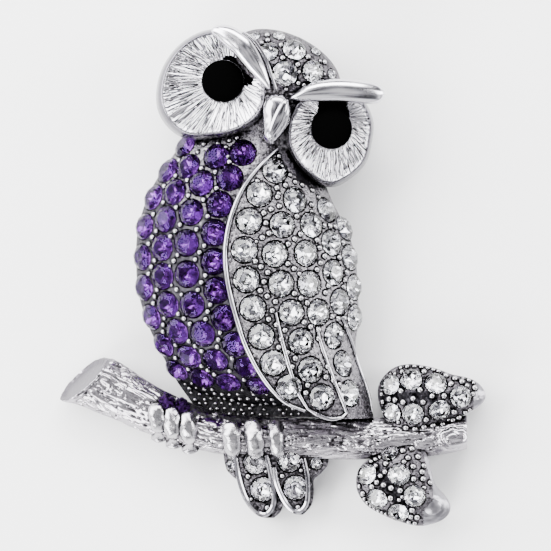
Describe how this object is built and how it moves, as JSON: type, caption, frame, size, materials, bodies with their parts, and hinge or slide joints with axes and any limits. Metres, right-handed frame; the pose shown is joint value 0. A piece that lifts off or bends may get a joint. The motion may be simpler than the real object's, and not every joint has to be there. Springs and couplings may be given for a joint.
{
  "type": "figural animal brooch",
  "caption": "Owl brooch to pin on clothing: a cast metal owl with violet and clear cut stones sits on a branch with two stone-set leaves, over a plain pin in its back.",
  "frame": {"origin": "on the back plane, below the middle of the brooch's bounding box", "axes": "the brooch lies on its back: +Z from the back towards the viewer, +Y up the owl to its head, +X to the viewer's right"},
  "size_m": [0.0398, 0.0465, 0.0102],
  "materials": {
    "silver_metal": "polished plating, dark in its hollows",
    "black_enamel": "glossy black enamel",
    "violet_stone": "cut glass with a foil back",
    "clear_stone": "cut glass with a foil back",
    "pin_metal": "satin"
  },
  "bodies": {
    "root": {"owl_casting": "silver_metal", "pupil_left": "black_enamel", "pupil_right": "black_enamel", "breast_stones": "violet_stone", "wing_stones": "clear_stone", "crown_stones": "clear_stone", "tail_stones": "clear_stone", "upper_leaf_stones": "clear_stone", "lower_leaf_stones": "clear_stone", "pin_back": "pin_metal"}
  },
  "joints": []
}
